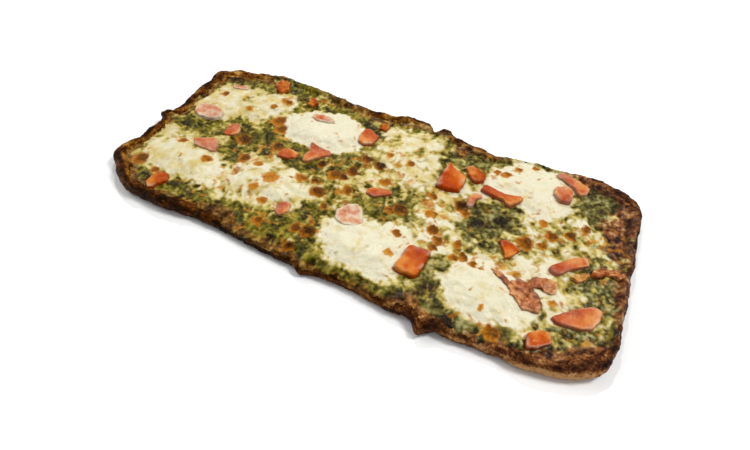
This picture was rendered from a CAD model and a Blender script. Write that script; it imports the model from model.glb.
"""Margherita flatbread: browned bread, green pesto with melted grains of cheese, mozzarella pools, tomato.

Lengths are in millimetres in the plan, whose middle is that of the plain rounded rectangle, and become metres
in the frame when a mesh is made. Numbers that end a call of a ripple, swirl or layered noise are its seed.
"""

import math

import bmesh
import bpy
import numpy as np
from mathutils import Euler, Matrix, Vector, noise


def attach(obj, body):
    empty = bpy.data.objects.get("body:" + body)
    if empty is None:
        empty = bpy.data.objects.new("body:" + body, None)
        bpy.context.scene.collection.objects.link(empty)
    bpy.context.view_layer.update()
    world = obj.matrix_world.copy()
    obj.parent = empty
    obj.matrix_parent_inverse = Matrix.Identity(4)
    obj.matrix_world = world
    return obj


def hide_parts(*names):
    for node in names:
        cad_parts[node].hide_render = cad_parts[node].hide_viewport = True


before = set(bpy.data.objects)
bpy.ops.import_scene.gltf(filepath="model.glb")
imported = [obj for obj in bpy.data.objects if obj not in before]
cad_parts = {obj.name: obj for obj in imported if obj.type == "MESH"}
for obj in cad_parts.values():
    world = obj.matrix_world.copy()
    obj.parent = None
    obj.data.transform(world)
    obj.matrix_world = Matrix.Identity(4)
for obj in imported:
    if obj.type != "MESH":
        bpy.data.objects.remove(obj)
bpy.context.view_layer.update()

MM = 0.001
BOX_MIDDLE_X = -2.1

# Plan and heights of the bread
HALF_LENGTH = 155.3
HALF_WIDTH = 70.4
CORNER_RADIUS = 30.0
FLOOR_HEIGHT = 6.6
CREST_HEIGHT = 9.6
RIM_WIDTH = 6.2
LEAST_RIM = 2.6
UNDERSIDE_INSET = 3.4
SHARP_ANGLE = 70

# Thickness of the pesto, share of the rim that it leaves bare, and how far its slab reaches below the floor
PESTO_THICKNESS = 1.5
BARE_RIM = 0.92
PESTO_BELOW = 1.5

# How far a pool's slab stays inside the bread's edge, reaches past the pool's own edge and below the floor
POOL_MARGIN = 1.8
POOL_PAST = 5.0
SMALL_POOL_PAST = 2.5
POOL_BELOW = 1.0

# Where along x the browns turn from warm to cooler ones: on bread and toppings, and on tomato
COOLER = (-10, 110)
TOMATO_COOLER = (20, 90)

# How finely the pieces are cut
CRUST_STATIONS = 1300
CRUST_SECTION = 36
PESTO_COLUMNS = 310
PESTO_ROWS = 318
POOL_GRID = (120, 92)
SMALL_POOL_GRID = (40, 32)
SMALL_POOL_REACH = 12
SLICE_HEADINGS = 96
SLICE_RINGS = 22

# Where the edge swells out or draws in: x, y, how far it moves out, spread
EDGE_SWELLS = (
    (-154, 52, 4.8, 6), (-143, 61, 3, 10), (-155, 34, 1.6, 12), (-155, 9, -0.6, 8), (-155, -2.6, 3.8, 1.5),
    (-155, -4.6, 4, 1.5), (-155, -6.6, 4.2, 1.5), (-155, -20, 1, 8), (-155, -35, -1.2, 8), (-154, -47, 6, 9),
    (-133, 70, -3.6, 14), (-109, 70, 2.8, 10), (-83, 70, 1.2, 12), (-52, 70, -1.2, 18), (-10.5, 70, 2.2, 5),
    (-4.5, 70, 4.6, 6.5), (5.5, 70, 5.4, 6), (14, 70, -3.2, 3.6), (18.6, 70, 4, 3), (23.2, 70, 4.4, 3.2),
    (57, 70, -4.6, 18), (124, 70, 5, 17), (147, 63, 5.2, 14), (155, 45, -1, 14), (-74, -70, -2.6, 20),
    (-109, -70, 1, 14), (-8.5, -70, 2.8, 4), (45, -70, 1.4, 12), (63.5, -70, 7, 4.8), (79, -70, 1.6, 12),
    (135, -69, -1.8, 14),
)

# Where the bare rim is wider or narrower than RIM_WIDTH: x, y, by how much, spread
RIM_CHANGES = (
    (-146, 62, 8.5, 18), (-155, 30, 3, 25), (-155, -10, 1.2, 20), (-150, -55, 5, 14), (-85, -70, 1.4, 30),
    (-30, -70, 3, 50), (-30, 70, 2, 20), (13, 70, -4, 12), (24, 71, 1, 6), (42, 69, 1.4, 8),
    (87, 70, -4.2, 16), (136, 70, 6.2, 16), (155, 40, 2, 22), (155, 5, 0.5, 20), (155, -30, -1, 20),
    (148, -58, 7, 14), (63, -72, 4, 7), (20, -70, -1, 30),
)

# Tables of oval patches have rows of x, y, by how much, length, width and, where it has one, turn in degrees.

# Where the crest lies lower and the toppings slope down to the edge
LOW_RIMS = (
    (-48, -70, 3.4, 34, 14), (2, -70, 2.8, 34, 14), (40, -70, 1.6, 20, 14), (92, -70, 1.4, 20, 14),
)

# Section of the rim: inset in mm, share of the rim's width, share of the crest's height, share of the floor's
SECTION = (
    (UNDERSIDE_INSET, 0.0, 0.0, 0.0),
    (0.0, 0.14, 0.10, 0.0),
    (0.0, 0.0, 0.38, 0.0),
    (0.0, 0.03, 0.66, 0.0),
    (0.0, 0.20, 0.91, 0.0),
    (0.0, 0.50, 1.0, 0.0),
    (0.0, 0.82, 0.62, 0.38),
    (0.0, 1.0, 0.0, 1.0),
    (3.0, 1.0, 0.0, 1.0),
)
SECTION_TOP = (3, 7)
SECTION_SAMPLES = 400

# Melted pools: x, y, thickness, smoothness, then how far the cheese reaches every 30 degrees round from +X
POOLS = (
    (-118, 30, 2.5, 0.5, (30, 38, 22, 18, 20, 23, 24, 31, 29, 22, 16, 22)),
    (-52, 31, 3.2, 1.0, (31, 26, 22.5, 20, 20, 23, 30, 27, 22, 19.5, 22, 25)),
    (11, 34, 2.0, 0.2, (22, 25, 31, 29, 28, 25, 23, 20, 22, 25, 29, 26)),
    (90, 44, 2.7, 0.8, (24, 26, 26, 25, 27, 27, 29, 24, 17, 22, 25, 24)),
    (-118, -34, 2.4, 0.7, (27, 22, 15, 15, 20, 23, 26, 25, 21, 16, 17, 25)),
    (-57, -27, 2.3, 0.4, (28, 24, 18, 18.5, 21, 25, 27, 30, 22, 16, 17, 24)),
    (20, -43, 2.7, 0.8, (22, 23, 23, 18, 22, 29, 31, 28, 21, 19, 21, 24)),
    (84, -42, 2.8, 0.8, (28, 25, 23, 21, 22, 21, 22, 21, 20, 19.5, 20, 24)),
    (-70, 60, 1.5, 0.3, (8, 7, 5, 5, 5, 6, 7, 6, 5, 5, 5, 6)),
    (105, -14, 1.6, 0.6, (8, 7, 5, 4, 5, 6, 7, 6, 5, 5, 5, 6)),
)

# Tomato: x, y, height, shares of cheese film and of browning over it, then x and y of each corner round it
TOMATOES = (
    (-131, 9.5, 1.8, 0.5, 0, -11.5, 2, -6, 6, 3, 6.5, 10, 3.5, 11.5, -1.5, 7, -5.5, -3, -7, -9, -4),
    (-128, 43, 1.8, 0.45, 0, -7, -1.5, -1, 2, 4, 4, 5.5, 0, 2, -3, -4, -3),
    (-103, 58.5, 2.8, 0, 0.55, -5, 8.5, 2, 7.5, 6.5, -1.5, 3, -6, -1, -5.5, -6.5, 1.5),
    (-74, 53.5, 2.2, 0, 0.6, -4.5, 6, 0, 5, 3.5, 1, 1.5, -4, -3.5, -2.5),
    (-105.5, 1, 2, 0.12, 0.05, -3.5, 6.5, 0.5, 7.5, 4.5, 4, 5.5, -1, 1.5, -5, -3.5, -5),
    (-112.5, -16.5, 2, 0.25, 0.05, -9.5, -0.5, -4, 2.5, 2, 6.5, 6.5, 4, 11, -5, 7.5, -5.5, 2, -6, -5, -6),
    (-22, 38.5, 3.2, 0.05, 0, -6.2, 7, -3, 8, 6, 3.5, 5, -5, 0, -8.5, -4.5, -7, -6.2, 0),
    (-17.8, 53.5, 2.4, 0, 0.7, -3, 4, 3, 3.5, 3, -3.5, -2.5, -4),
    (-57, 39, 1.8, 0.68, 0, -9, 1.5, -4, 4, 3, 4.5, 8.5, 1, 5, -3, -3, -4.5, -8, -2),
    (-44.5, 7, 2.6, 0.12, 0, -8.5, 9, -1.5, 7, 7.5, 7, 8.5, 4, 3.5, -2, -1.5, -8, -4.5, -9, -6.5, -5,
     -5.2, 1),
    (-60.5, -1, 2.2, 0.05, 0.15, -5.5, 3, 0, 5, 6, 4, 6, -1, 1.5, -4, -5.5, -5.5, -6.5, -2),
    (-116.5, -58.5, 2.4, 0, 0.3, -4, 6, 0, 7.5, 4.5, 6, 6, 2, 3, -4, 0, -7.5, -3.5, -5.5, -4.5, 0),
    (-38, -42, 2.2, 0.2, 0.1, -4, 2, -1, 5.5, 3, 5, 4.5, -1, 1, -5.5, -3.5, -4),
    (6, -3.5, 2.2, 0.08, 0.1, -7.5, 0, -2, 3.5, 6, 4.5, 8, 2, 3, -2, -2, -5, -7, -4.5),
    (0, -28, 1.8, 0.7, 0, -10, 0, -6, 7, -1, 10, 5, 5, 9, -3, 6, -8, -2, -9, -8, -6),
    (41.5, 29, 4.2, 0, 0, -7, 13.5, -3, 8.5, 8, 4, 7.5, -9, 2, -11, -7.5, -11.5, -7.5, 0),
    (53.5, 39.5, 3.4, 0, 0.3, -8.5, 4, -5, 6, 1, 4, 6, 1.5, 6.5, -4, 2, -7, -1.5, -4.5, -5.5, -1.5),
    (73.5, 28.5, 3.8, 0.05, 0, -13, 4.5, -6, 3, 3, 2, 12.5, 4.5, 11.5, 0, 6, -6, 2, -3, -6, -2, -13.5, -1),
    (59, 18, 2.4, 0.25, 0.1, -3, -5, -3.5, 2, -1, 6, 4, 6.5, 4.5, 4.5, 1, 1, 1.5, -5.5, 0, -7),
    (45, -41.5, 4, 0, 0, -6.3, 9.3, 6.5, 10, 6.2, -4, 5, -10, -7, -10.3, -7.5, -6, -6.3, 2),
    (110.5, 60.5, 2.8, 0.18, 0, -11, 5, -7.5, 7.5, 0, 5.5, 10.5, 1, 9.5, -5, 5.5, -8, 2.5, -4, -4.5, -0.5,
     -10.5, 1.5),
    (107, 47.5, 3.4, 0.2, 0, -6, 3, -1, 6, 3.5, 7, 5.5, 1, 5.5, -5, -1, -7, -5.5, -3.5),
    (89, -9, 3.2, 0, 0.05, -6.5, 4, -4, 5.5, 2, 4, 6, 2, 3, -4, 0, -7, -3, -2),
    (122, -4, 3.6, 0.1, 0, -10, -6, -5, -1, 1, 6, 7, 9.3, 10.5, 5, 6, 1, 0, -4, -4, -9.5, -9, -9.5),
    (129, -8.5, 2.6, 0, 0.5, -5, -3, -1, 1, 4, 4.5, 5, 2.5, 3, -1.5, -1, -4.5),
    (133, -34, 3.2, 0.1, 0, -13, -7.5, -9, -3, -3, 3, 4, 8, 8, 9.5, 11, 8, 10.5, 2, 8, -4.5, 4, -7,
     -3, -8.5, -10, -9),
    (118, -57, 3.2, 0, 0.05, -6, 1.5, -1, 6, 4, 7, 6.5, 1.5, 1, -4, -4, -7, -5.5, -3),
    (104.5, -34, 1.8, 0.35, 0.75, -9.5, 4, -4, 8.5, 2, 8, 6, 3, 10.5, -1, 10.5, -8, 5, -9, -1, -8.5, -6, -5,
     -9, -1),
    (112, -22.5, 1.9, 0.35, 0.75, -9, -3, -3, 3.5, 3, 5.5, 7.5, 4, 8, -2, 4, -5, 0, -2.5, -6, -5.5),
    (90.5, -29.5, 1.6, 0.4, 0.7, -6.5, 3, -2.5, 3.5, 3.5, 0.5, 7, -3, 3.5, -4.5, -0.5, -2, -4.5, 1),
    (142.5, 1.2, 2.6, 0, 0.85, -9, -5, -5.5, 0.8, 1.5, 2.3, 8, 2.8, 8, -0.2, 1, -1.6, -4, -4.2, -8.5, -7),
)
YELLOW_TOMATO = 25
TOMATO_SAG = 1.6
TOMATO_SINK = 0.9
TOMATO_RISE = 0.85

# Section of a slice from the middle of its top to its underside: share of the radius, share of the height
SLICE_SECTION = ((0.0, 0.94), (0.35, 0.95), (0.7, 0.98), (0.9, 1.0), (0.96, 0.9), (1.0, 0.55), (1.02, 0.0))

# Where the toppings run out over the rim, by the share of it that they cover
COVERED_RIMS = (
    (-42, -70, 0.95, 50, 12), (30, -70, 0.75, 30, 12), (92, -70, 0.65, 26, 12), (-85, 70, 0.9, 28, 12),
    (-52, 70, 0.6, 14, 12), (20, 68, 0.3, 12, 10), (85, 70, 1, 36, 12), (150, 30, 0.55, 14, 40),
    (152, -20, 0.6, 12, 30),
)

# Where brown juices have run over the rim
SMEARED_RIMS = (
    (-40, -70, 1, 42, 14), (25, -70, 0.6, 30, 14), (88, -70, 0.5, 18, 14), (-85, 70, 1, 26, 14),
    (-55, 70, 0.6, 14, 14), (0, 66, 0.5, 12, 10), (88, 70, 1.2, 32, 14), (153, -20, 0.5, 10, 16),
)

# Browned blisters: x, y, width, darkness
BLISTERS = (
    (-133.5, 32, 6, 0.55), (-94, -2, 9, 0.8), (-108, 25, 5, 0.3), (-95, 35, 4.5, 0.35), (-90.5, 45, 7.5, 0.5),
    (-84.5, 25.5, 9.5, 0.5), (-127, -23, 6, 0.45), (-102, -30, 6.5, 0.4), (-139, -48, 9.5, 0.6),
    (-124, -52, 5, 0.5), (-83, -17, 8, 0.6), (-69, 60, 5, 0.5), (-14, 20, 7.5, 0.8), (-4, 19, 7.5, 1),
    (-17, 5.6, 7.5, 0.75), (-37, 2, 5, 0.9), (-26, -2, 7, 0.6), (-20, -2, 6, 0.8), (-42, -15, 7, 0.45),
    (-71, -18, 5, 0.35), (-57, -25.5, 8.5, 0.25), (-62, -36, 5.5, 0.25), (-78, 18, 8, 0.55),
    (-28, -20.5, 8.5, 0.7), (-18, -28, 4.5, 0.6), (-12, -11, 6, 0.6), (-33, -13, 5, 0.8),
    (-52, -42, 5.5, 0.4), (-46, -56, 6.5, 0.6), (-24, -51, 6, 0.7), (-17, -50, 7.5, 0.85), (-21, -63, 6, 0.8),
    (-71, 3, 8, 0.8), (13, 28, 5.5, 0.5), (-2, 30, 4.5, 0.35), (5.5, 7, 6.5, 0.4), (45.5, -15.5, 7, 0.6),
    (22, -10, 8.5, 0.75), (17, -13, 5, 0.45), (31, -43, 5, 0.2), (29, -28, 5.5, 0.5), (51, -21, 6.5, 0.55),
    (51, -27, 5, 0.6), (62, -18, 5, 0.5), (63, -28, 5, 0.5), (76, 57, 5.5, 0.5), (71, 48.5, 5.5, 0.45),
    (65, 49, 4, 0.4), (85.5, 64, 4, 0.4), (68, -25.5, 5, 0.6), (74, -28, 5, 0.5), (54, 10.6, 8, 0.85),
    (118, 18, 6, 0.7), (108, 13, 7.5, 0.6), (102, 20, 5, 0.35), (125.5, 27, 6.5, 0.6), (105, 3, 5, 0.5),
    (96, 1, 9, 0.6), (96, -63, 8.5, 0.55), (87, -53, 3.5, 0.2), (119, -32, 5, 0.3), (40, -4, 7, 0.3),
    (58, 6, 6, 0.5), (36, 10, 5, 0.5),
)

# More or less melted cheese in the pesto
CHEESE_PATCHES = (
    (-134, 20, 0.35, 14, 22), (-104, 50, 0.4, 14, 7, 10), (-88, 50, 0.25, 14, 8, -20),
    (-92, 22, 0.2, 14, 8, 20), (-125, 40, 0.15, 22, 9), (-137, -18, 0.3, 9, 8), (-140, -30, 0.22, 6, 14),
    (-112, -5, 0.28, 8, 8), (-100, -25, 0.26, 12, 8), (-88, -38, 0.55, 11, 16), (-95, -48, 0.3, 12, 8, 20),
    (-78, -8, 0.16, 10, 6, 30), (-72, 0, 0.12, 6, 6), (-28, 24, 0.22, 9, 10), (-12, 32, 0.3, 8, 14),
    (-6, 52, 0.32, 12, 10), (-12, 8, 0.08, 14, 12, 20), (-22, -14, 0.1, 16, 10), (-14, -32, 0.06, 10, 14),
    (-34, -44, 0.22, 12, 7), (-58, -47, 0.3, 20, 6), (-2, 2, 0.35, 10, 14), (18, 12, 0.28, 14, 7),
    (16, 62, 0.34, 14, 8), (44, 12, 0.44, 12, 12), (45, -6, 0.52, 13, 16), (38, -22, 0.5, 14, 8),
    (24, -24, 0.22, 10, 7), (55, -24, 0.34, 12, 9), (66, -14, 0.2, 10, 7, 20), (51, 28, 0.55, 7, 9),
    (62, 28, 0.75, 5, 9, 20), (64, 52, 0.25, 9, 6, 30), (70, -30, 0.38, 8, 12), (92, 12, 0.1, 12, 8),
    (94, -14, 0.3, 10, 8), (106, 6, 0.34, 18, 14, 20), (120, 28, 0.52, 12, 12), (136, 12, 0.14, 9, 6, 10),
    (142, 32, -0.25, 9, 16), (112, -14, 0.42, 16, 10, 20), (120, -26, 0.46, 14, 9, 30),
    (122, -44, 0.28, 10, 6, 30), (106, -50, 0.44, 12, 8, 20), (62, -62, 0.14, 10, 7), (146, -30, 0.12, 7, 12),
    (32, -61, 0.2, 14, 6), (-122, 55, -0.4, 26, 6, 4), (-142, 46, -0.3, 6, 10), (-96, 61, -0.3, 14, 8),
    (-84, 64, -0.2, 20, 5), (-64, 55, -0.46, 18, 7, 28), (-80, 55, -0.3, 8, 6), (-50, 62, -0.3, 20, 6),
    (-82, 40, -0.22, 9, 6, 50), (-128, -4, -0.34, 16, 7), (-95, 6, -0.22, 16, 10), (-84, 3, -0.26, 12, 12),
    (-93, -17, -0.4, 8, 8), (-90, -28, -0.2, 5, 5), (-104, -45, -0.45, 6, 4), (-103, -53, -0.4, 6, 4),
    (-116, 31, -0.52, 8, 4.5, 15), (-112, 43, -0.42, 4, 8, -20), (6, -50, -0.16, 9, 6, 20),
    (34, -24, -0.12, 8, 5), (14, 44, -0.14, 9, 7), (-58, 8, -0.46, 12, 5), (-44, -5, -0.42, 10, 6),
    (-53, -4, -0.3, 6, 5), (-34, 55, -0.34, 8, 6), (-30, 8, -0.16, 8, 8), (-28, -38, -0.2, 8, 10),
    (-128, -58, -0.44, 14, 8, -20), (-90, -60, -0.34, 26, 7), (-50, -58, -0.2, 30, 8), (-8, 64, -0.34, 14, 7),
    (32, 34, -0.3, 3, 12), (32, 44, -0.25, 4, 5), (46, 54, -0.5, 16, 9, 10), (58, 44, -0.2, 7, 6),
    (14, -17, -0.24, 14, 6, -10), (26, -14, -0.14, 8, 8), (24, 2, -0.1, 9, 5), (66, 1, -0.3, 12, 8, 15),
    (78, 12, -0.3, 9, 7), (90, 10, -0.16, 8, 6), (74, -2, -0.12, 12, 6), (74, -12, -0.1, 10, 6),
    (57, -42, -0.26, 6, 16), (56, -56, -0.3, 9, 8), (110, 35, -0.34, 5, 5), (136, 54, -0.5, 22, 18),
    (121, 66, -0.25, 14, 6, -20), (146, -12, -0.34, 12, 14), (140, -52, -0.4, 15, 9, 20),
    (118, -66, -0.35, 26, 6, 8), (20, -68, -0.45, 34, 7), (72, -68, -0.42, 22, 8), (-10, -60, -0.2, 14, 9),
    (117, -45, -0.25, 4, 3),
)

# How brown and crusty the surface is
TOAST_PATCHES = (
    (-146, 58, 0.75, 14, 12, 40), (-132, 62, 0.6, 16, 6), (-116, 62, 0.32, 12, 6), (-149, 30, 0.7, 6, 30),
    (-150, -20, 0.45, 5, 24), (-148, -52, 0.85, 10, 12, -40), (-136, -62, 0.6, 16, 6, -22),
    (-139, -48, 0.45, 7, 6), (-110, -68, 0.5, 26, 4), (-30, 63, 0.6, 18, 7), (-60, 67, 0.25, 22, 4),
    (-20, 56, 0.35, 8, 6), (-80, -66, 0.55, 22, 5), (-66, -62, 0.65, 13, 6, -10), (-40, -67, 0.45, 30, 4),
    (-28, -66, 0.35, 12, 5), (20, -71, 0.45, 34, 3.5), (38, 60, 1.1, 6, 9, 20), (36, 68, 0.6, 10, 5),
    (56, 65, 0.35, 16, 4), (0, 71, 0.9, 14, 7), (20, 72, 1, 7, 5), (124, 69, 0.85, 16, 5),
    (146, 60, 0.7, 10, 12, 30), (151, 30, 0.85, 8, 26), (141, 32, 0.9, 11, 17), (151, -10, 0.55, 5, 22),
    (145, 3, 0.5, 12, 4, 10), (146, -55, 0.8, 11, 9, 30), (132, -60, 0.8, 13, 7, 20),
    (118, -68, 0.8, 28, 4, 8), (52, -64, 0.75, 6, 8, -30), (62, -72, 1, 10, 6), (30, -60, 0.3, 10, 4),
    (54, 8, 0.35, 8, 7), (-74, 56, 0.3, 16, 7, 10), (-52, 62, 0.3, 16, 5), (-128, 2, 0.2, 14, 9),
    (-92, 3, 0.25, 14, 8), (-72, -2, 0.45, 8, 7), (-120, -16, 0.15, 10, 6),
)

# Where the bread itself is baked darker or lighter
DARKER_CRUST = (
    (-156, -5, 0.2, 10, 60), (-157, -50, -0.1, 12, 14), (-40, -74, 0.22, 50, 8), (64, -78, -0.15, 8, 8),
    (120, -70, -0.1, 40, 8), (140, -67, -0.26, 18, 8, 20), (0, 76, 0.1, 20, 6), (22, 74, 0.35, 8, 6),
    (-110, 74, -0.1, 40, 8), (-112, -72, 0.22, 26, 8), (-148, 60, -0.3, 18, 12),
)

# Where the bread's side is left light below its browned crest
LIT_WALLS = (
    (96, -74, 0.3, 26, 12), (20, -74, 0.2, 30, 12), (138, -70, 1.25, 22, 14),
)

# Near-black places
CHAR_PATCHES = (
    (79, 11, 0.85, 6, 5), (66, 2, 0.75, 5, 4, 20), (72, 3, 0.45, 7, 3, -20), (60, 10, 0.35, 4, 4),
    (59, -2, 0.3, 6, 5), (22, -10, 0.35, 8, 6), (31, -15, 0.45, 4, 4), (74, -67, 0.75, 6, 5),
    (84, -69, 0.3, 12, 3), (28, -66, 0.45, 5, 4), (5, -67, 0.35, 6, 4), (-4, -63, 0.3, 6, 4),
    (-122, 52, 0.45, 8, 3, 5), (-139, 50, 0.5, 5, 6, -10), (-136, 56, 0.45, 8, 2, -35),
    (-90, -18, 0.35, 4, 5), (-52, -6, 0.4, 5, 4), (-40, -2, 0.4, 6, 3), (-58, 8, 0.25, 9, 3),
    (-30, 9, 0.35, 5, 5), (-130, -5, 0.25, 6, 4), (-32, 56, 0.35, 7, 4), (32, 34, 0.35, 2.5, 10),
    (34, 58, 0.45, 2.5, 7), (142, -54, 0.5, 9, 7, 20), (128, -64, 0.3, 12, 3, 15), (152, -40, 0.4, 3, 10),
    (150, 18, 0.32, 6, 20), (147, 42, 0.35, 5, 12), (133, 68, 0.55, 12, 4), (150, 58, 0.45, 5, 8, 30),
    (122, 62, 0.25, 8, 5), (133, -63, 0.3, 6, 3, 20), (21, 73, 0.9, 5, 5), (2, 76, 0.35, 12, 3),
    (-152, 53, 0.4, 4, 5), (-55, -70, 0.8, 34, 2.6), (-105, -67, 0.6, 16, 2.4),
    (-128, -64, 0.55, 8, 2.4, -22), (151, 4, 0.45, 10, 2.5, 8), (113, 35, 0.25, 4, 3), (-10, 30, 0.2, 3, 4),
    (15, -18, 0.2, 8, 4, -20),
)

# Small browned freckles
FRECKLE_PATCHES = (
    (-20, 4, 0.32, 18, 18, 20), (-16, -22, 0.26, 14, 12), (-20, -50, 0.26, 14, 12),
    (-81, -30, 0.46, 6, 16, -18), (-82, -46, 0.26, 8, 8), (-57, -28, 0.24, 16, 10), (-60, -14, 0.12, 16, 6),
    (-80, 20, 0.26, 8, 8), (-86, 44, 0.18, 8, 8), (-50, -56, 0.2, 14, 8), (0, 32, 0.22, 8, 10),
    (12, 22, 0.12, 16, 12), (22, 14, 0.18, 14, 6), (44, -2, 0.34, 12, 18), (36, 8, 0.25, 6, 8),
    (50, -22, 0.34, 8, 8), (66, -24, 0.34, 10, 7, 20), (30, -28, 0.14, 8, 6), (44, -56, 0.25, 8, 6),
    (68, 50, 0.22, 8, 10), (80, 58, 0.16, 8, 6), (90, 22, 0.24, 14, 5, 20), (108, 12, 0.28, 14, 12, 20),
    (130, 22, 0.26, 10, 12), (95, 0, 0.3, 8, 8), (100, -22, 0.34, 16, 6, 10), (96, -30, 0.3, 12, 6, -30),
    (78, -24, 0.2, 8, 5, 20), (95, -60, 0.26, 14, 5), (80, -60, 0.22, 8, 4), (-138, -42, 0.22, 8, 8),
    (-148, -28, 0.2, 4, 14), (-138, 18, 0.16, 6, 10), (-70, -4, 0.3, 8, 6), (118, -32, 0.2, 8, 5),
    (136, -44, 0.24, 12, 6, 30), (142, 24, 0.3, 10, 12),
)

# Half the floor's side in metres, the sky's strength, and lamps: name, place in metres, size, power
FLOOR_REACH = 6.0
SKY = 0.4
LAMPS = (
    ("key", (0.70, 0.45, 1.20), 0.40, 13.4),
    ("side", (-1.0, 0.1, 0.9), 0.6, 5.0),
    ("glint", (-0.42, 0.85, 1.05), 0.03, 5.0),
)

# Colours as seen, in sRGB from 0 to 255
PESTO_COLOURS = ((0.0, (28, 20, 0)), (0.3, (66, 59, 3)), (0.6, (102, 93, 14)), (1.0, (152, 138, 50)))
PESTO_GREY_COLOURS = ((0.0, (32, 26, 12)), (0.3, (68, 61, 24)), (0.6, (104, 97, 48)), (1.0, (168, 161, 112)))
TOAST_COLOURS = ((0.0, (50, 26, 4)), (0.4, (100, 64, 18)), (0.7, (136, 98, 40)), (1.0, (170, 134, 68)))
TOAST_GREY_COLOURS = ((0.0, (34, 16, 14)), (0.4, (88, 48, 28)), (0.7, (138, 84, 42)), (1.0, (184, 140, 92)))
BROWN_COLOURS = ((0.0, (204, 148, 56)), (0.3, (170, 102, 20)), (0.6, (108, 60, 6)), (1.0, (42, 20, 2)))
CHEESE = (218, 212, 184)
CHEESE_YELLOW = (204, 184, 118)
CHEESE_THIN = ((0.0, (134, 116, 34)), (0.5, (178, 158, 74)), (1.0, (212, 196, 130)))
CHAR = (26, 18, 14)
JUICE_COLOURS = ((0.0, (30, 14, 2)), (0.4, (66, 36, 8)), (0.8, (110, 78, 28)))
DOUGH_COLOURS = (
    (0.0, (178, 134, 62)), (0.3, (132, 86, 24)), (0.55, (84, 42, 6)), (0.8, (48, 20, 2)), (1.0, (24, 10, 0))
)
DOUGH_GREY_COLOURS = (
    (0.0, (190, 142, 92)), (0.3, (132, 84, 46)), (0.55, (84, 44, 22)), (0.8, (46, 22, 14)), (1.0, (22, 10, 8))
)
FLESH_COLOURS = ((0.1, (160, 52, 0)), (0.5, (186, 76, 0)), (0.95, (206, 126, 52)))
SKIN = (146, 46, 0)
YELLOW_FLESH = ((0.3, (196, 132, 50)), (0.7, (226, 178, 96)))
PINK_FLESH = ((0.3, (198, 142, 112)), (0.6, (216, 192, 164)))
BURNT_COLOURS = ((0.3, (104, 46, 2)), (0.5, (154, 80, 8)), (0.7, (186, 118, 32)))
BURNT_GREY_COLOURS = ((0.3, (86, 32, 12)), (0.5, (150, 80, 36)), (0.7, (210, 152, 98)))
FLOOR_COLOURS = ((0.3, (243, 243, 242)), (0.7, (247, 247, 246)))

# The photograph's view: place in metres in the frame, turns in degrees, lens in mm for a sensor that wide
CAMERA_PLACE = (0.09202, -0.20185, 0.23002)
CAMERA_TURN = (40.5098, -2.5599, 26.2223)
LENS = 24.39
SENSOR_WIDTH = 36.0


def hashed(column, row, seed):
    """A number from 0 to 1 for each whole-number place, always the same one."""
    mixed = column.astype(np.int64) * 374761393 + row.astype(np.int64) * 668265263 + seed * 974634777
    mixed &= 0xFFFFFFFF
    mixed = ((mixed ^ (mixed >> 13)) * 1274126177) & 0xFFFFFFFF
    return ((mixed ^ (mixed >> 16)) & 0xFFFFFF) / 0x1000000


def ripple(x, y, length, seed):
    """Smooth noise of about -1 to 1 with bumps of the given length."""
    x, y = np.asarray(x) / length, np.asarray(y) / length
    column, row = np.floor(x), np.floor(y)
    total = np.zeros(np.broadcast(x, y).shape)
    for right in (0, 1):
        for up in (0, 1):
            to_x, to_y = x - column - right, y - row - up
            angle = 2 * math.pi * hashed(column + right, row + up, seed)
            near_x, near_y = 1 - np.abs(to_x), 1 - np.abs(to_y)
            share = near_x**3 * (near_x * (6 * near_x - 15) + 10)
            share = share * (near_y**3 * (near_y * (6 * near_y - 15) + 10))
            total += share * (np.cos(angle) * to_x + np.sin(angle) * to_y)
    return 1.6 * total


def swirled(x, y, length, seed):
    """A ripple drawn out into short curling strands."""
    push_x = 0.7 * length * ripple(x, y, 1.6 * length, seed + 500)
    push_y = 0.7 * length * ripple(x, y, 1.6 * length, seed + 600)
    return ripple(x + push_x, y + push_y, length, seed)


def layered(x, y, length, seed, layers=3, keep=0.55):
    """Several ripples on one another, each half as long as the last."""
    total, size, full = 0.0, 1.0, 0.0
    for k in range(layers):
        total = total + size * ripple(x, y, length / 2**k, seed + 17 * k)
        full += size
        size *= keep
    return total / full


def step(low, high, value):
    """0 below low, 1 above high and smooth between them."""
    share = np.clip((value - low) / (high - low), 0.0, 1.0)
    return share * share * (3 - 2 * share)


def bells(x, y, table):
    """Sum of smooth bumps, each x, y, height, spread."""
    total = np.zeros(np.shape(x))
    for at_x, at_y, height, spread in table:
        total += height * np.exp(-((x - at_x) ** 2 + (y - at_y) ** 2) / spread**2)
    return total


def ovals(x, y, table):
    """Sum of smooth oval patches."""
    total = np.zeros(np.shape(x))
    for at_x, at_y, height, length, width, *turn in table:
        turned = math.radians(sum(turn))
        along = (x - at_x) * math.cos(turned) + (y - at_y) * math.sin(turned)
        across = (y - at_y) * math.cos(turned) - (x - at_x) * math.sin(turned)
        total += height * np.exp(-((along / length) ** 2) - (across / width) ** 2)
    return total


def edge_swell(x, y):
    """How far the real edge lies outside the plain outline's point."""
    return 0.7 * ripple(x, y, 11, 3) + bells(x, y, EDGE_SWELLS)


def rim_width(x, y):
    return np.maximum(LEAST_RIM, RIM_WIDTH * (1 + 0.16 * ripple(x, y, 18, 8)) + bells(x, y, RIM_CHANGES))


def crest_height(x, y):
    """Height of the rim's crest, lower where the toppings run out to the edge."""
    bare = np.minimum(1.0, rim_width(x, y) / RIM_WIDTH)
    above = (CREST_HEIGHT - FLOOR_HEIGHT) * (0.55 + 0.45 * bare) + 0.6 * ripple(x, y, 13, 5)
    return FLOOR_HEIGHT + above - ovals(x, y, LOW_RIMS)


def through(back, near, far, ahead, share):
    """A smooth curve from near to far, in line with the values back and ahead of them."""
    bend = (2 * back - 5 * near + 4 * far - ahead) * share**2 + (3 * near - back - 3 * far + ahead) * share**3
    return near + ((far - back) * share + bend) / 2


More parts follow.
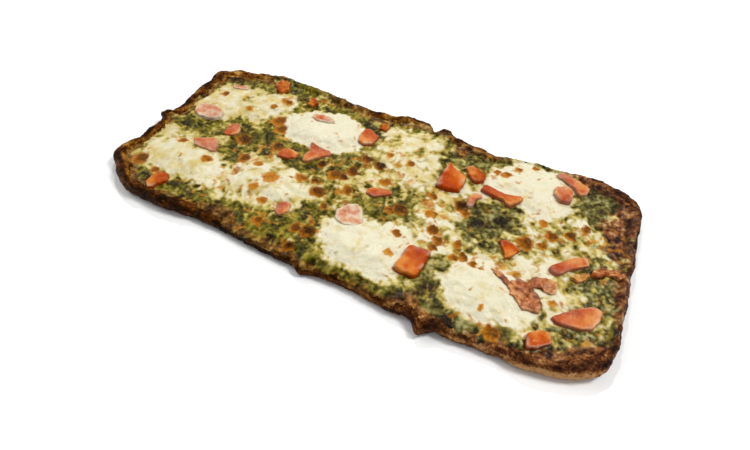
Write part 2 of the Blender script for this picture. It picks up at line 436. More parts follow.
def section_curve(samples):
    """The rim's section as a smooth curve through SECTION, one row for each sample."""
    marks = np.array(SECTION)
    padded = np.vstack([2 * marks[0] - marks[1], marks, 2 * marks[-1] - marks[-2]])
    places = np.linspace(0, len(marks) - 1, samples)
    first = np.minimum(places.astype(int), len(marks) - 2)
    share = (places - first)[:, None]
    return through(*(padded[first + k] for k in range(4)), share)


def crust_top(depth, x, y):
    """Height of the bread's top at a depth in from the real edge, by the plain outline's nearest point."""
    start, end = (SECTION_SAMPLES * mark // (len(SECTION) - 1) for mark in SECTION_TOP)
    curve = section_curve(SECTION_SAMPLES)[start:end]
    across = np.clip(depth / rim_width(x, y), curve[0, 1], 1.0)
    of_crest = np.interp(across, curve[:, 1], curve[:, 2])
    of_floor = np.interp(across, curve[:, 1], curve[:, 3])
    return of_crest * crest_height(x, y) + of_floor * FLOOR_HEIGHT


def nearest_edge(x, y):
    """The plain outline's nearest point, its outward direction and the depth of each place inside it."""
    core_x, core_y = HALF_LENGTH - CORNER_RADIUS, HALF_WIDTH - CORNER_RADIUS
    beyond_x, beyond_y = np.maximum(0.0, np.abs(x) - core_x), np.maximum(0.0, np.abs(y) - core_y)
    length = np.maximum(np.hypot(beyond_x, beyond_y), 1e-9)
    in_corner = (beyond_x > 0) & (beyond_y > 0)
    by_end = ~in_corner & (HALF_LENGTH - np.abs(x) < HALF_WIDTH - np.abs(y))
    out_x = np.where(in_corner, beyond_x / length, by_end.astype(float))
    out_y = np.where(in_corner, beyond_y / length, (~by_end).astype(float))
    side_depth = np.where(by_end, HALF_LENGTH - np.abs(x), HALF_WIDTH - np.abs(y))
    depth = np.where(in_corner, CORNER_RADIUS - length, side_depth)
    out_x, out_y = np.copysign(out_x, x), np.copysign(out_y, y)
    return x + out_x * depth, y + out_y * depth, out_x, out_y, depth


def outline_stations(count):
    """Points and outward directions evenly round the plain rounded rectangle."""
    arc = CORNER_RADIUS * math.pi / 2
    runs = (2 * (HALF_WIDTH - CORNER_RADIUS), 2 * (HALF_LENGTH - CORNER_RADIUS)) * 2
    total = sum(runs) + 4 * arc
    points = np.zeros((count, 4))
    for i in range(count):
        left = total * i / count
        for side, run in enumerate(runs):
            facing = side * math.pi / 2
            out = np.array((math.cos(facing), math.sin(facing)))
            along = np.array((-out[1], out[0]))
            start = out * (HALF_LENGTH, HALF_WIDTH) - along * run / 2
            if left <= run:
                points[i] = (*(start + along * left), *out)
                break
            left -= run
            if left <= arc:
                turned = facing + left / CORNER_RADIUS
                out_there = np.array((math.cos(turned), math.sin(turned)))
                points[i] = (*(start + along * run + (out_there - out) * CORNER_RADIUS), *out_there)
                break
            left -= arc
    return points.T


def rounded_place(across, along):
    """Maps a grid from -1 to 1 both ways into the plain rounded rectangle."""
    x, y = across * HALF_LENGTH, along * HALF_WIDTH
    corner_x = (np.abs(x) - (HALF_LENGTH - CORNER_RADIUS)) / CORNER_RADIUS
    corner_y = (np.abs(y) - (HALF_WIDTH - CORNER_RADIUS)) / CORNER_RADIUS
    in_corner = (corner_x > 0) & (corner_y > 0)
    round_x = corner_x * np.sqrt(np.maximum(0, 1 - corner_y**2 / 2))
    round_y = corner_y * np.sqrt(np.maximum(0, 1 - corner_x**2 / 2))
    corner_place_x = np.copysign(HALF_LENGTH + (round_x - 1) * CORNER_RADIUS, x)
    corner_place_y = np.copysign(HALF_WIDTH + (round_y - 1) * CORNER_RADIUS, y)
    return np.where(in_corner, corner_place_x, x), np.where(in_corner, corner_place_y, y)


def pool_radius(reaches, heading):
    """Distance from a pool's middle to its edge in a heading, smooth through the pool's reaches."""
    reaches = np.array(reaches, float)
    place = np.degrees(heading) / 30
    before = np.floor(place).astype(int)
    share = place - before
    return through(*(reaches[(before + k) % len(reaches)] for k in (-1, 0, 1, 2)), share)


def pool_depth(pool, x, y):
    """How far inside a pool's ragged edge a place lies."""
    at_x, at_y, _, _, reaches = pool
    warp = min(1.0, reaches[0] / 20)
    to_x = x - at_x + warp * (2.6 * ripple(x, y, 14, 34) + 1.4 * ripple(x, y, 5.5, 35))
    to_y = y - at_y + warp * (2.6 * ripple(x, y, 14, 36) + 1.4 * ripple(x, y, 5.5, 37))
    radius = pool_radius(reaches, np.arctan2(to_y, to_x))
    ragged = 1.2 * ripple(x, y, 7, 31) + 1.2 * ripple(x, y, 3.4, 32) + 0.5 * ripple(x, y, 1.7, 33)
    return radius - np.hypot(to_x, to_y) + ragged * min(1.0, reaches[0] / 12)


def pool_rise(pool, x, y):
    """Height of a pool's cheese above the pesto's even surface, negative outside its edge."""
    inside = pool_depth(pool, x, y)
    lip = 0.35 * (1 - np.exp(-np.maximum(inside, 0) / 0.9))
    swell = (pool[2] - 0.1) * step(-1.0, 16.0, inside)
    return np.where(inside > 0, lip + swell, 0.6 * inside)


def even_top(x, y):
    """The surface of bread and pesto without the fine relief."""
    edge_x, edge_y, _, _, depth = nearest_edge(x, y)
    depth = depth + edge_swell(edge_x, edge_y)
    bread = crust_top(depth, edge_x, edge_y)
    spread = PESTO_THICKNESS * step(0.45, 1.2, depth / rim_width(edge_x, edge_y))
    return bread + spread + 0.35 * ripple(x, y, 9, 11)


def laid_top(x, y):
    """The surface that a piece of tomato lies on."""
    rise = np.maximum.reduce([pool_rise(pool, x, y) for pool in POOLS])
    return even_top(x, y) + np.maximum(0.0, rise)


def blister_fields(x, y):
    """Rise, browning and darkness that the blisters give each place."""
    rise, brown, dark = np.zeros(x.shape), np.zeros(x.shape), np.zeros(x.shape)
    push_x = 1.2 * ripple(x, y, 5.0, 43) + 0.6 * ripple(x, y, 2.2, 44)
    push_y = 1.2 * ripple(x, y, 5.0, 45) + 0.6 * ripple(x, y, 2.2, 46)
    x, y = x + push_x, y + push_y
    uneven = 0.4 * ripple(x, y, 1.5, 42)
    for at_x, at_y, width, darkness in BLISTERS:
        away = np.hypot(x - at_x, y - at_y) + uneven
        inside = 1 - np.maximum(away, 0) / (0.55 * width)
        darkest = 1 - np.hypot(x - at_x - 0.1 * width, y - at_y - 0.12 * width) / (0.55 * width)
        rise += 0.10 * width * step(0.0, 0.8, inside) * (1 - 0.35 * step(0.5, 1.0, inside))
        brown = np.maximum(brown, step(-0.40, 0.35, inside))
        dark = np.maximum(dark, (0.45 + 0.7 * step(-0.2, 0.7, darkest)) * darkness * step(-0.6, -0.1, inside))
    return rise, brown, dark


def topping_fields(x, y):
    """The blisters' rise, and everything that colours the pesto and the cheese at each place, from 0 to 1."""
    depths = [pool_depth(pool, x, y) for pool in POOLS]
    inside = np.maximum.reduce(depths)
    clean = np.zeros(x.shape)
    for pool, depth in zip(POOLS, depths):
        clean = np.where(depth >= inside - 1e-9, pool[3], clean)
    rise, brown, dark = blister_fields(x, y)
    grain = 1.1 * swirled(x, y, 10, 61) + 1.0 * swirled(x, y, 5.2, 62) + 0.50 * swirled(x, y, 2.8, 63)
    grain += 0.40 * ripple(x, y, 3.4, 56)
    strands = np.maximum(0.0, 1 - 5.0 * np.abs(swirled(x, y, 7.5, 64))) * step(-0.1, 0.4, ripple(x, y, 6, 57))
    patches = ovals(x, y, CHEESE_PATCHES)
    outside = 0.285 + 0.065 * step(-10, 90, x) + 0.18 * np.exp(np.minimum(inside, 0) / 5.0)
    outside = outside + 0.85 * patches + 0.22 * strands
    within = 0.66 + 0.58 * clean + np.minimum(0.0, patches) + 0.1 * step(2, 8, inside)
    blend = 2.5 + 3.5 * (1 - clean)
    edge_x, edge_y, _, _, depth = nearest_edge(x, y)
    bare = (BARE_RIM - ovals(x, y, COVERED_RIMS)) * rim_width(edge_x, edge_y)
    verge = 1 - step(-1.0, 7.0, depth + edge_swell(edge_x, edge_y) - bare)
    verge = verge * (1 - 0.8 * step(0.0, 4.0, inside))
    level = outside - 0.28 * verge + (within - outside) * step(-blend, blend, inside)
    ceiling = 0.80 + 0.20 * step(-2.0, 3.0, inside) + 0.4 * np.maximum(0.0, patches)
    ceiling -= 0.13 * (1 - step(-105, -70, x))
    lively = 0.37 * (1 - 0.40 * clean * step(0.0, 6.0, inside))
    cream = np.clip(np.minimum(level + lively * grain, ceiling), 0, 1)
    freckle = 1.1 * swirled(x, y, 4.5, 65) + 0.4 * ripple(x, y, 2.0, 66) + 0.5 * ripple(x, y, 8, 67)
    freckles = 0.75 * step(0.30, 0.95, 0.10 + 0.60 * freckle + 1.2 * ovals(x, y, FRECKLE_PATCHES))
    brown = np.maximum(brown, freckles)
    dark = np.maximum(dark, freckles * np.clip(0.35 + 0.5 * ripple(x, y, 5, 68), 0, 1))
    toast = step(0.25, 0.75, ovals(x, y, TOAST_PATCHES) + 0.40 * verge + 0.35 * swirled(x, y, 6, 69))
    char = np.clip(ovals(x, y, CHAR_PATCHES), 0, 1)
    shade = 0.44 + 0.55 * swirled(x, y, 4.5, 58) + 0.30 * ripple(x, y, 2.0, 59) + 0.36 * ripple(x, y, 11, 60)
    yellow = 0.50 + 0.4 * ripple(x, y, 9, 70) + 0.3 * swirled(x, y, 4, 71) - 0.55 * (clean - 0.5)
    yellow += 0.25 * (1 - step(-110, -75, x))
    return rise, {
        "cream": cream,
        "brown": np.clip(brown, 0, 1),
        "dark": dark,
        "toast": toast * (1 - 0.6 * step(0.4, 0.8, cream)),
        "char": char,
        "shade": np.clip(shade, 0, 1),
        "yellow": np.clip(yellow, 0, 1),
        "grey": step(*COOLER, x),
    }


def linear(colour):
    """Shader colour from sRGB of 0 to 255."""
    values = [value / 255 for value in colour]
    return tuple(v / 12.92 if v <= 0.04045 else ((v + 0.055) / 1.055) ** 2.4 for v in values) + (1.0,)


def finish_mesh(name, places, faces, fields, look, node):
    """Makes a piece of the bread from places in mm, faces and point fields, in the place of a CAD node."""
    mesh = bpy.data.meshes.new(name)
    shifted = np.asarray(places, float) - (BOX_MIDDLE_X, 0.0, 0.0)
    mesh.from_pydata((shifted * MM).tolist(), [], faces)
    for field, values in fields.items():
        layer = mesh.attributes.new(field, "FLOAT", "POINT")
        layer.data.foreach_set("value", np.asarray(values, np.float32).ravel())
    bm = bmesh.new()
    bm.from_mesh(mesh)
    bmesh.ops.recalc_face_normals(bm, faces=bm.faces)
    bm.to_mesh(mesh)
    bm.free()
    mesh.shade_smooth()
    mesh.set_sharp_from_angle(angle=math.radians(SHARP_ANGLE))
    piece = bpy.data.objects.new(name, mesh)
    bpy.context.scene.collection.objects.link(piece)
    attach(piece, "root")
    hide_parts(node)
    piece.data.materials.append(look)


def quads(*corners):
    """Faces from four grids of point numbers."""
    return np.stack(corners, -1).reshape(-1, 4).tolist()


def finish_slab(name, x, y, top, bottom, fields, look, node):
    """Makes a closed slab: a grid on top, a skirt round it and one flat face below."""
    rows, columns = x.shape
    places = np.stack([x.ravel(), y.ravel(), top.ravel()], 1)
    index = np.arange(rows * columns).reshape(rows, columns)
    faces = quads(index[:-1, :-1], index[:-1, 1:], index[1:, 1:], index[1:, :-1])
    ring = np.concatenate([index[0, :-1], index[:-1, -1], index[-1, :0:-1], index[:0:-1, 0]])
    foot = places[ring].copy()
    foot[:, 2] = bottom
    below = rows * columns + np.arange(len(ring))
    faces += [[ring[i - 1], below[i - 1], below[i], ring[i]] for i in range(len(ring))]
    faces.append(below[::-1].tolist())
    fields = {field: np.append(values, values.ravel()[ring]) for field, values in fields.items()}
    finish_mesh(name, np.vstack([places, foot]), faces, fields, look, node)


def build_crust():
    """The bread itself: its rim lofted round, with a flat underside and a floor below the pesto."""
    x, y, out_x, out_y = outline_stations(CRUST_STATIONS)
    curve = section_curve(CRUST_SECTION)
    swell, width, crest = edge_swell(x, y), rim_width(x, y), crest_height(x, y)
    depth = curve[:, 0][:, None] + curve[:, 1][:, None] * width - swell
    height = curve[:, 2][:, None] * crest + curve[:, 3][:, None] * FLOOR_HEIGHT
    at_x, at_y = x - out_x * depth, y - out_y * depth
    places = np.stack([at_x, at_y, height], -1)
    along = np.roll(places, -1, 1) - np.roll(places, 1, 1)
    up = np.gradient(places, axis=0)
    normal = np.cross(along, up)
    normal /= np.maximum(np.linalg.norm(normal, axis=-1, keepdims=True), 1e-9)
    bumps = np.array(
        [0.70 * noise.noise(p / 9) + 0.50 * noise.noise(p / 4) + 0.36 * noise.noise(p / 1.8)
         for p in (Vector(place) for place in places.reshape(-1, 3))]
    ).reshape(height.shape)
    run = np.arange(CRUST_STATIONS) * 2 * (2 * HALF_LENGTH + 2 * HALF_WIDTH) / CRUST_STATIONS
    run = run * np.ones_like(height)
    up_run = np.cumsum(np.linalg.norm(np.diff(places, axis=0, prepend=places[:1]), axis=-1), axis=0)
    folds = ripple(run, 4.5 * up_run + 0.25 * run, 14, 72)
    bumps += 0.30 * np.abs(folds) - 0.12
    free = step(0.2, 1.2, height) * (1 - step(0.9, 1.0, curve[:, 1][:, None] * np.ones_like(height)))
    places += normal * (bumps * free)[..., None]
    low = 1 - step(1.0, 7.5, height)
    inner = step(0.50, 0.80, np.arange(CRUST_SECTION)[:, None] / (CRUST_SECTION - 1) * np.ones_like(height))
    patches = step(0.2, 0.9, ovals(at_x, at_y, TOAST_PATCHES))
    baked = 0.62 + 0.05 * low - 0.34 * inner + 0.10 * patches + 0.42 * layered(run, 2.2 * up_run, 8, 73)
    baked += 0.20 * step(0.0, 0.3, -folds) - 0.14 * step(0.1, 0.5, folds)
    wall = 1 - step(5.5, 8.5, height)
    baked += 0.9 * ovals(at_x, at_y, DARKER_CRUST) - 0.9 * ovals(at_x, at_y, LIT_WALLS) * wall
    char = ovals(at_x, at_y, CHAR_PATCHES) * (0.7 + 0.4 * low)
    smear = 0.8 * ovals(at_x, at_y, SMEARED_RIMS) * step(5.0, 8.0, height)
    smear += 0.5 * layered(run, 2 * up_run, 6, 74)
    fields = {
        "baked": np.clip(baked, 0, 1),
        "char": np.clip(char, 0, 1),
        "smear": step(0.35, 0.8, smear),
        "shade": np.clip(0.36 + 0.4 * ripple(at_x, at_y, 2.8, 75) + 0.3 * ripple(at_x, at_y, 1.4, 76), 0, 1),
        "grey": step(*COOLER, at_x),
    }
    index = np.arange(places.shape[0] * places.shape[1]).reshape(places.shape[:2])
    ahead = np.roll(index, -1, 1)
    faces = quads(index[:-1], ahead[:-1], ahead[1:], index[1:])
    faces += [index[0].tolist()[::-1], index[-1].tolist()]
    finish_mesh("bread_crust", places.reshape(-1, 3), faces, fields, crust_look(), "crust")


def build_pesto(look, name, from_end, to_end):
    """One half of the pesto with its herbs, grains of cheese and blisters, thinning out over the rim."""
    across, along = np.meshgrid(np.linspace(from_end, to_end, PESTO_COLUMNS), np.linspace(-1, 1, PESTO_ROWS))
    x, y = rounded_place(across, along)
    edge_x, edge_y, out_x, out_y, depth = nearest_edge(x, y)
    covered = np.clip(ovals(edge_x, edge_y, COVERED_RIMS), 0, 1)
    inset = 0.7 + 0.9 * (1 - covered)
    inward = (inset - edge_swell(edge_x, edge_y)) * np.maximum(0.0, 1 - depth / CORNER_RADIUS) ** 1.5
    x, y = x - out_x * inward, y - out_y * inward
    edge_x, edge_y, _, _, depth = nearest_edge(x, y)
    depth = depth + edge_swell(edge_x, edge_y)
    rise, fields = topping_fields(x, y)
    ragged = 2.0 * ripple(x, y, 7, 81) + 1.3 * ripple(x, y, 3.2, 82) + 0.8 * ripple(x, y, 1.6, 83)
    width, over_rim = rim_width(edge_x, edge_y), ovals(x, y, COVERED_RIMS)
    cover = step(-0.9, 0.9, depth - (BARE_RIM - over_rim) * width + ragged)
    herbs = 0.34 * ripple(x, y, 3.6, 84) + 0.30 * ripple(x, y, 1.9, 85) + 0.14 * ripple(x, y, 1.1, 86)
    relief = herbs * (1 - 0.5 * fields["cream"]) + 0.45 * fields["cream"] + rise
    bread = crust_top(depth, edge_x, edge_y)
    relief = relief + 0.6 * np.clip(over_rim, 0, 1) * (1 - step(0.5, 1.0, depth / width))
    top = bread + (even_top(x, y) + relief - bread) * cover - 0.9 * (1 - cover)
    finish_slab(name, x, y, top, FLOOR_HEIGHT - PESTO_BELOW, fields, look, "pesto")


def build_pool(number, pool, look):
    """A pool of melted mozzarella whose ragged edge runs down into the pesto."""
    at_x, at_y, _, clean, reaches = pool
    small = reaches[0] < SMALL_POOL_REACH
    columns, rows = SMALL_POOL_GRID if small else POOL_GRID
    across, along = np.meshgrid(np.linspace(-1, 1, columns), np.linspace(-1, 1, rows))
    disc_x, disc_y = across * np.sqrt(1 - along**2 / 2), along * np.sqrt(1 - across**2 / 2)
    heading, out = np.arctan2(disc_y, disc_x), np.hypot(disc_x, disc_y)
    reach = out * (pool_radius(reaches, heading) + (SMALL_POOL_PAST if small else POOL_PAST))
    x, y = at_x + reach * np.cos(heading), at_y + reach * np.sin(heading)
    edge_x, edge_y, out_x, out_y, depth = nearest_edge(x, y)
    inward = np.maximum(0.0, POOL_MARGIN - depth - edge_swell(edge_x, edge_y))
    x, y = x - out_x * inward, y - out_y * inward
    depth = depth + inward + edge_swell(edge_x, edge_y)
    rise, fields = topping_fields(x, y)
    inside = pool_depth(pool, x, y)
    rough = (1.15 - clean) * step(0.0, 3.0, inside)
    relief = (0.55 * swirled(x, y, 8, 91) + 0.16 * ripple(x, y, 3.2, 92)) * rough
    relief -= 0.22 * (1 - fields["cream"]) * step(0.0, 2.0, inside)
    lift = pool_rise(pool, x, y) + relief + 0.8 * rise
    top = even_top(x, y) + lift * step(1.5, 6.0, depth) - 0.5 * (1 - step(1.5, 4.0, depth))
    node = f"mozzarella_{number:02d}"
    finish_slab("melted_" + node, x, y, top, FLOOR_HEIGHT - POOL_BELOW, fields, look, node)


def slice_radius(corners, headings):
    """Distance from a slice's middle to its outline in each heading, with the corners a little rounded."""
    corners = np.reshape(corners, (-1, 2)).astype(float)
    ahead = np.roll(corners, -1, 0)
    way = np.stack([np.cos(headings), np.sin(headings)], 1)
    side = ahead - corners
    facing = way[:, None, 0] * side[None, :, 1] - way[:, None, 1] * side[None, :, 0]
    facing = np.where(np.abs(facing) < 1e-9, 1e-9, facing)
    reach = (corners[:, 0] * side[:, 1] - corners[:, 1] * side[:, 0])[None] / facing
    share = (corners[None, :, 0] * way[:, None, 1] - corners[None, :, 1] * way[:, None, 0]) / facing
    hit = (reach > 0) & (share >= -1e-6) & (share <= 1 + 1e-6)
    radius = np.where(hit, reach, 0.0).max(1)
    return (np.roll(radius, 1) + 2 * radius + np.roll(radius, -1)) / 4


def build_tomato(number, tomato, look):
    """A soft slice of diced tomato, sunk a little into what it lies on."""
    x, y, height, film, browning, *corners = tomato
    headings = 2 * math.pi * np.arange(SLICE_HEADINGS) / SLICE_HEADINGS
    radius = slice_radius(corners, headings)
    section = np.array(SLICE_SECTION)
    places = np.linspace(0, len(section) - 1, SLICE_RINGS)[1:]
    out = np.interp(places, range(len(section)), section[:, 0])[:, None]
    above = np.interp(places, range(len(section)), section[:, 1])[:, None] * np.ones_like(radius)
    at_x = np.append((x + out * radius * np.cos(headings)).ravel(), x)
    at_y = np.append((y + out * radius * np.sin(headings)).ravel(), y)
    share = np.append((out * np.ones_like(radius)).ravel(), 0.0)
    above = np.append(above.ravel(), 1.0)
    ragged = 0.35 + 1.1 * browning
    push_x = ragged * ripple(at_x, at_y, 3.4, 100 + number)
    push_y = ragged * ripple(at_x, at_y, 3.4, 200 + number)
    at_x, at_y = at_x + push_x, at_y + push_y
    middle = laid_top(np.array([x]), np.array([y]))[0]
    ground = np.maximum(laid_top(at_x, at_y), middle - TOMATO_SAG)
    lying = ground + (middle - ground) * above / 2
    lumps = 0.32 * ripple(at_x, at_y, 5, 101 + number) + 0.12 * ripple(at_x, at_y, 1.8, 102 + number)
    crisp = 0.9 * swirled(at_x, at_y, 4.5, 103 + number) + 0.3 * ripple(at_x, at_y, 1.6, 104 + number)
    at_z = lying - TOMATO_SINK + above * (TOMATO_RISE * height + TOMATO_SINK + lumps + browning * crisp)
    index = np.arange(len(places) * SLICE_HEADINGS).reshape(len(places), SLICE_HEADINGS)
    ahead = np.roll(index, -1, 1)
    faces = quads(index[:-1], index[1:], ahead[1:], ahead[:-1])
    faces += [[index.size, index[0, i], ahead[0, i]] for i in range(SLICE_HEADINGS)]
    faces.append(index[-1].tolist()[::-1])
    covered = film * (1.1 + 1.6 * layered(at_x, at_y, 7, 105 + number) + 0.3 * step(0.7, 1.0, share))
    creep = step(0.55, 0.98, share) * step(0.0, 0.5, ripple(at_x, at_y, 8, 107 + number))
    creep = creep * step(0.5, 0.95, above)
    browned = browning * (1.0 + 0.9 * layered(at_x, at_y, 4, 106 + number))
    tone = 0.5 + 0.5 * share * np.cos(np.arctan2(at_y - y, at_x - x) - 2.4 * number)
    tone = tone + 0.3 * ripple(at_x, at_y, 6, 108 + number)
    fields = {
        "skin": 1 - step(0.3, 0.95, above),
        "film": np.clip(np.maximum(covered, 0.4 * creep), 0, 1),
        "browned": np.clip(browned, 0, 1),
        "edge": step(0.72, 1.0, share),
        "tone": np.clip(tone, 0, 1),
        "yellow": np.full(above.shape, float(number == YELLOW_TOMATO)),
        "grey": step(*TOMATO_COOLER, at_x),
    }
    places = np.stack([at_x, at_y, at_z], 1)
    finish_mesh(f"tomato_piece_{number:02d}", places, faces, fields, look, f"tomato_{number:02d}")


class Shading:
    """A node material under construction."""

    def __init__(self, name):
        self.material = bpy.data.materials.new(name)
        self.material.use_nodes = True
        self.nodes = self.material.node_tree.nodes
        self.links = self.material.node_tree.links
        self.shader = self.nodes["Principled BSDF"]
        self.place = self.nodes.new("ShaderNodeTexCoord").outputs["Object"]

    def put(self, socket, value):
        if isinstance(value, bpy.types.NodeSocket):
            self.links.new(value, socket)
        else:
            socket.default_value = value

    def node(self, kind, inputs, **settings):
        """A new node with settings by name, and inputs by name or place."""
        node = self.nodes.new("ShaderNode" + kind)
        for name, value in settings.items():
            setattr(node, name, value)
        for name, value in inputs.items():
            self.put(node.inputs[name], value)
        return node

    def field(self, name):
        """A value that the mesh holds at each point."""
        return self.node("Attribute", {}, attribute_name=name).outputs["Fac"]

    def noise(self, length, detail=3.0, roughness=0.55):
        """Noise from 0 to 1 with features of a length in mm."""
        inputs = {"Vector": self.place, "Scale": 1 / (length * MM), "Detail": detail, "Roughness": roughness}
        return self.node("TexNoise", inputs).outputs["Fac"]

    def math(self, operation, *values, clamp=False):
        return self.node("Math", dict(enumerate(values)), operation=operation, use_clamp=clamp).outputs[0]

    def about_zero(self, value):
        return self.math("SUBTRACT", value, 0.5)

    def added(self, value, spread, by, clamp=False):
        """The value with so much of a noise about zero added to it."""
        return self.math("MULTIPLY_ADD", spread, by, value, clamp=clamp)

    def between(self, value, low, high, to_low=0.0, to_high=1.0):
        """The value mapped smoothly from one range to another."""
        inputs = dict(enumerate((value, low, high, to_low, to_high)))
        return self.node("MapRange", inputs, interpolation_type="SMOOTHSTEP").outputs[0]

    def ramp(self, value, stops):
        node = self.node("ValToRGB", {0: value})
        elements = node.color_ramp.elements
        while len(elements) < len(stops):
            elements.new(1.0)
        for element, (position, colour) in zip(elements, stops):
            element.position = position
            element.color = linear(colour)
        return node.outputs["Color"]

    def mix(self, share, first, second):
        return self.node("Mix", {0: share, 6: first, 7: second}, data_type="RGBA").outputs[2]

    def toned(self, value, warm, cool):
        """One ramp's colour at the warm end of the bread and the other's at the cool end."""
        return self.mix(self.field("grey"), self.ramp(value, warm), self.ramp(value, cool))

    def set(self, **values):
        for name, value in values.items():
            self.put(self.shader.inputs[name.replace("_", " ")], value)

    def bump(self, height, distance, strength=1.0):
        inputs = {"Strength": strength, "Distance": distance * MM, "Height": height}
        normal = self.node("Bump", inputs).outputs["Normal"]
        self.set(Normal=normal, Coat_Normal=normal)


def topping_look(name):
    """Pesto where there is no cheese, cheese where there is, each browned and charred in places."""
    shading = Shading(name)
    fine = shading.noise(1.6, 3)
    finer = shading.noise(0.7, 2)
    spread = shading.about_zero(fine)
    shade = shading.added(shading.field("shade"), spread, 0.6, clamp=True)
    green = shading.toned(shade, PESTO_COLOURS, PESTO_GREY_COLOURS)
    toasted = shading.toned(shade, TOAST_COLOURS, TOAST_GREY_COLOURS)
    green = shading.mix(shading.field("toast"), green, toasted)
    yellow = shading.between(shading.added(shading.field("yellow"), spread, 0.5), 0.3, 1.1)
    cheese = shading.mix(yellow, linear(CHEESE), linear(CHEESE_YELLOW))
    thin = shading.ramp(shading.added(shading.field("shade"), spread, 0.8, clamp=True), CHEESE_THIN)
    level = shading.added(shading.field("cream"), shading.about_zero(finer), 0.12)
    level = shading.added(level, spread, 0.24)
    colour = shading.mix(shading.between(level, 0.28, 0.66), green, thin)
    colour = shading.mix(shading.between(level, 0.56, 0.96), colour, cheese)
    dark = shading.added(shading.field("dark"), spread, 0.6, clamp=True)
    browned = shading.between(shading.added(shading.field("brown"), spread, 0.5), 0.05, 0.95)
    colour = shading.mix(browned, colour, shading.ramp(dark, BROWN_COLOURS))
    charred = shading.between(shading.added(shading.field("char"), spread, 1.6), 0.15, 0.85)
    colour = shading.mix(charred, colour, linear(CHAR))
    shading.set(
        Base_Color=colour,
        Roughness=shading.between(shading.noise(3.0, 2), 0.3, 0.7, 0.16, 0.34),
        Specular_IOR_Level=0.08,
        Specular_Tint=(1.0, 0.8, 0.3, 1.0),
        Coat_Weight=shading.between(browned, 0.2, 0.8, 0.12, 0.03),
        Coat_Roughness=0.10,
    )
    shading.bump(fine, 0.55, 0.6)
    return shading.material


def crust_look():
    """Baked dough from tan to dark brown, with charred spots."""
    shading = Shading("baked_crust")
    fine = shading.noise(1.3, 4, 0.6)
    coarse = shading.noise(4.5, 4, 0.6)
    spread = shading.about_zero(fine)
    baked = shading.added(shading.field("baked"), spread, 1.2)
    baked = shading.added(baked, shading.about_zero(coarse), 0.9, clamp=True)
    colour = shading.toned(baked, DOUGH_COLOURS, DOUGH_GREY_COLOURS)
    shade = shading.added(shading.field("shade"), spread, 1.1, clamp=True)
    colour = shading.mix(shading.field("smear"), colour, shading.ramp(shade, JUICE_COLOURS))
    charred = shading.between(shading.added(shading.field("char"), spread, 1.4), 0.2, 0.95)
    colour = shading.mix(charred, colour, linear(CHAR))
    shading.set(
        Base_Color=colour,
        Roughness=shading.between(fine, 0.3, 0.7, 0.4, 0.65),
        Specular_IOR_Level=0.05,
        Specular_Tint=(1.0, 0.75, 0.3, 1.0),
    )
    shading.bump(fine, 0.5, 0.8)
    return shading.material


def tomato_look():
    """Moist tomato flesh with redder skin, under cheese or browned in places."""
    shading = Shading("tomato_flesh")
    soft = shading.noise(5.0, 3)
    fine = shading.noise(1.0, 3)
    tone = shading.added(shading.field("tone"), shading.about_zero(soft), 1.0, clamp=True)
    colour = shading.mix(shading.field("skin"), shading.ramp(tone, FLESH_COLOURS), linear(SKIN))
    colour = shading.mix(shading.field("yellow"), colour, shading.ramp(soft, YELLOW_FLESH))
    at_edge = shading.math("MULTIPLY", shading.field("edge"), 0.8)
    under_cheese = shading.mix(at_edge, shading.ramp(soft, PINK_FLESH), linear(CHEESE))
    colour = shading.mix(shading.field("film"), colour, under_cheese)
    char = shading.added(shading.noise(2.6, 3), shading.about_zero(tone), 0.22)
    burnt = shading.toned(char, BURNT_COLOURS, BURNT_GREY_COLOURS)
    colour = shading.mix(shading.field("browned"), colour, burnt)
    shading.set(
        Base_Color=colour,
        Roughness=shading.between(fine, 0.3, 0.7, 0.10, 0.22),
        Specular_IOR_Level=0.10,
        Specular_Tint=(1.0, 0.65, 0.3, 1.0),
        Coat_Weight=0.10,
        Coat_Roughness=0.04,
    )
    shading.bump(shading.noise(2.2, 2), 1.2, 0.8)
    return shading.material


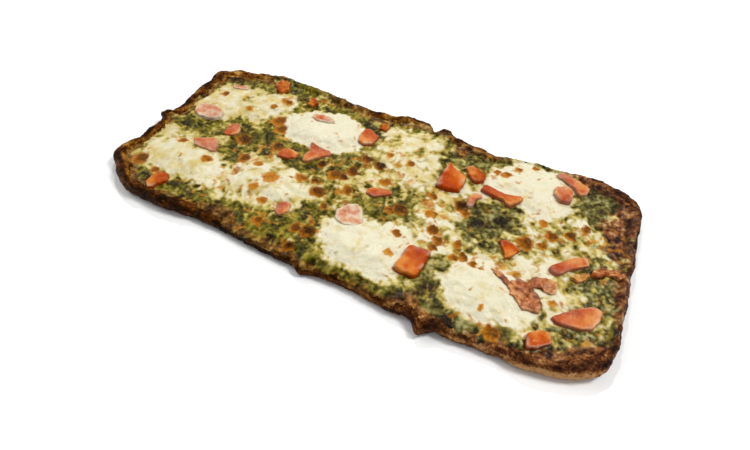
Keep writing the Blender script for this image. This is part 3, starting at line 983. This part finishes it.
def floor_look():
    shading = Shading("pale_floor")
    shading.set(Base_Color=shading.ramp(shading.noise(400, 2), FLOOR_COLOURS), Roughness=0.9)
    return shading.material


def build_stage():
    """A plain pale floor, a soft sky, a key lamp behind, one at the left side and a small one for glints."""
    mesh = bpy.data.meshes.new("floor")
    reach = FLOOR_REACH
    corners = [(-reach, -reach, 0), (reach, -reach, 0), (reach, reach, 0), (-reach, reach, 0)]
    mesh.from_pydata(corners, [], [(0, 1, 2, 3)])
    floor = bpy.data.objects.new("floor", mesh)
    bpy.context.scene.collection.objects.link(floor)
    mesh.materials.append(floor_look())
    world = bpy.data.worlds.new("soft_sky")
    world.use_nodes = True
    sky = world.node_tree.nodes["Background"].inputs
    sky["Color"].default_value = (1.0, 1.0, 1.0, 1.0)
    sky["Strength"].default_value = SKY
    bpy.context.scene.world = world
    for name, place, size, power in LAMPS:
        lamp = bpy.data.lights.new(name, "AREA")
        lamp.size = size
        lamp.energy = power
        holder = bpy.data.objects.new(name, lamp)
        holder.location = place
        holder.rotation_euler = Vector(place).to_track_quat("Z", "Y").to_euler()
        bpy.context.scene.collection.objects.link(holder)


def build_camera():
    """The photograph's view: from the near right, 49 degrees down and slightly rolled."""
    lens = bpy.data.cameras.new("camera")
    lens.sensor_fit = "HORIZONTAL"
    lens.sensor_width = SENSOR_WIDTH
    lens.lens = LENS
    lens.clip_start = 0.01
    camera = bpy.data.objects.new("camera", lens)
    camera.location = CAMERA_PLACE
    camera.rotation_euler = Euler([math.radians(angle) for angle in CAMERA_TURN], "XYZ")
    bpy.context.scene.collection.objects.link(camera)
    bpy.context.scene.camera = camera


def main():
    build_crust()
    spread = topping_look("pesto_with_cheese")
    build_pesto(spread, "pesto_spread_left", -1, 0)
    build_pesto(spread, "pesto_spread_right", 0, 1)
    cheese = topping_look("melted_cheese")
    for number, pool in enumerate(POOLS, start=1):
        build_pool(number, pool, cheese)
    flesh = tomato_look()
    for number, tomato in enumerate(TOMATOES, start=1):
        build_tomato(number, tomato, flesh)
    build_stage()
    build_camera()
    bpy.context.scene.view_settings.view_transform = "Standard"


main()
